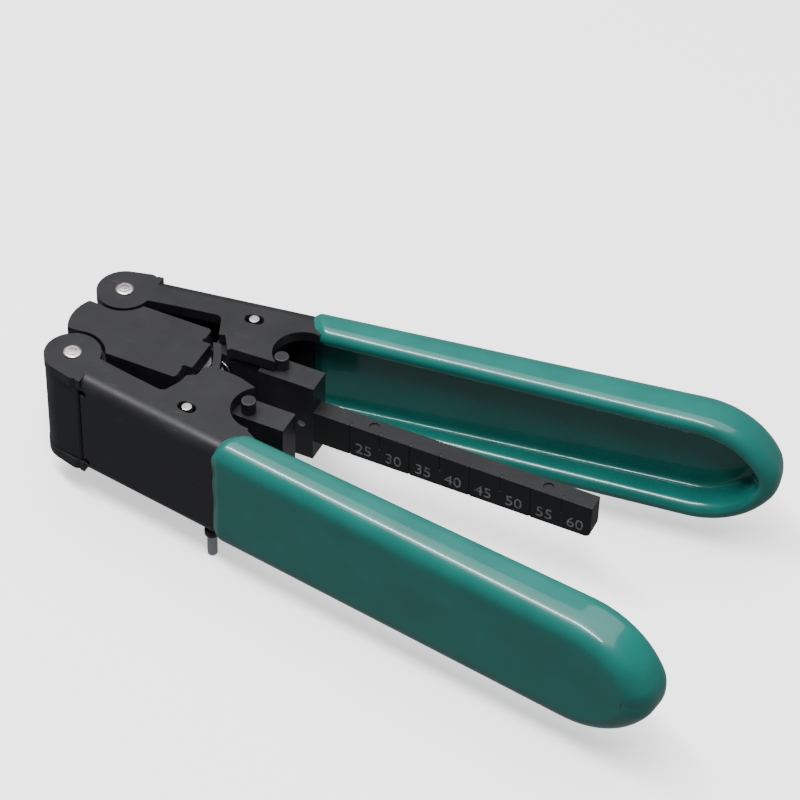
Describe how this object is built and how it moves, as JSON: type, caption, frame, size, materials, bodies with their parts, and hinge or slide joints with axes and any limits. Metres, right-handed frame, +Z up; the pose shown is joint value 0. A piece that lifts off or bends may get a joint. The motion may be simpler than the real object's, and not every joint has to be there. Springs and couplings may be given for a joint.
{
  "type": "drop cable jacket stripping tool",
  "caption": "Plier-like jacket stripper for flat drop cable: two dipped channel handles, a pivot block, sliding spring-opened jaws and a length scale bar.",
  "frame": {"origin": "midway between the two handle pivots, on the underside plane of the head block and the channels", "axes": "+X towards the handle ends, +Y towards the right (upper) handle, +Z up through the top flanges"},
  "size_m": [0.1083, 0.0576, 0.0251],
  "materials": {
    "block_black": "satin black",
    "rivet_nickel": "nickel plated",
    "sheet_black": "satin black",
    "grip_pvc": "glossy dipped PVC",
    "jaw_black": "blackened steel",
    "pin_steel": "ground",
    "blade_steel": "ground",
    "screw_steel": "plain",
    "dowel_dark": "blackened",
    "rod_steel": "ground",
    "spring_steel": "drawn wire",
    "bar_black": "matt black with grey marks",
    "lever_black": "satin black"
  },
  "bodies": {
    "head": {"head_block": "block_black", "left_pivot_rivet": "rivet_nickel", "right_pivot_rivet": "rivet_nickel", "upper_return_spring": "spring_steel", "lower_return_spring": "spring_steel"},
    "left_handle_body": {"left_handle": "sheet_black", "left_grip": "grip_pvc", "latch_rivet": "rivet_nickel"},
    "right_handle_body": {"right_handle": "sheet_black", "right_grip": "grip_pvc", "latch_stud": "rivet_nickel"},
    "left_jaw_body": {"left_jaw": "jaw_black", "left_jaw_pin": "pin_steel", "left_blade": "blade_steel", "left_blade_screws": "screw_steel", "left_stop_pin": "dowel_dark", "upper_guide_rod": "rod_steel", "lower_guide_rod": "rod_steel"},
    "right_jaw_body": {"right_jaw": "jaw_black", "right_jaw_pin": "pin_steel", "right_blade": "blade_steel", "right_blade_screws": "screw_steel", "right_stop_pin": "dowel_dark", "scale_bar": "bar_black", "scale_bar_pin": "pin_steel"},
    "latch_body": {"latch_lever": "lever_black", "latch_peg": "pin_steel"}
  },
  "joints": [
    {"name": "left_handle_swing", "type": "hinge", "parent": "head", "child": "left_handle_body", "pos_m": [0, -0.00814, 0.0095], "axis": [0, 0, 1], "range_deg": [0, 3], "stiffness_Nm_per_rad": 2, "springref_deg": -2.86},
    {"name": "right_handle_swing", "type": "hinge", "parent": "head", "child": "right_handle_body", "pos_m": [0, 0.00814, 0.0095], "axis": [0, 0, 1], "range_deg": [-3, 0]},
    {"name": "left_jaw_slide", "type": "slide", "parent": "head", "child": "left_jaw_body", "axis": [0, 1, 0], "range_m": [0, 0.00112], "deforming": ["upper_return_spring", "lower_return_spring"]},
    {"name": "right_jaw_slide", "type": "slide", "parent": "head", "child": "right_jaw_body", "axis": [0, -1, 0], "range_m": [0, 0.00112]},
    {"name": "latch_swing", "type": "hinge", "parent": "left_handle_body", "child": "latch_body", "pos_m": [0.0244, -0.0084, -0.0006], "axis": [0, 0, 1], "range_deg": [-103.5, 0]}
  ],
  "couplings": [
    {"joint": "right_handle_swing", "follows": "left_handle_swing", "ratio": -1},
    {"joint": "left_jaw_slide", "follows": "left_handle_swing", "m_per_rad": 0.02124},
    {"joint": "right_jaw_slide", "follows": "left_handle_swing", "m_per_rad": 0.02124}
  ]
}
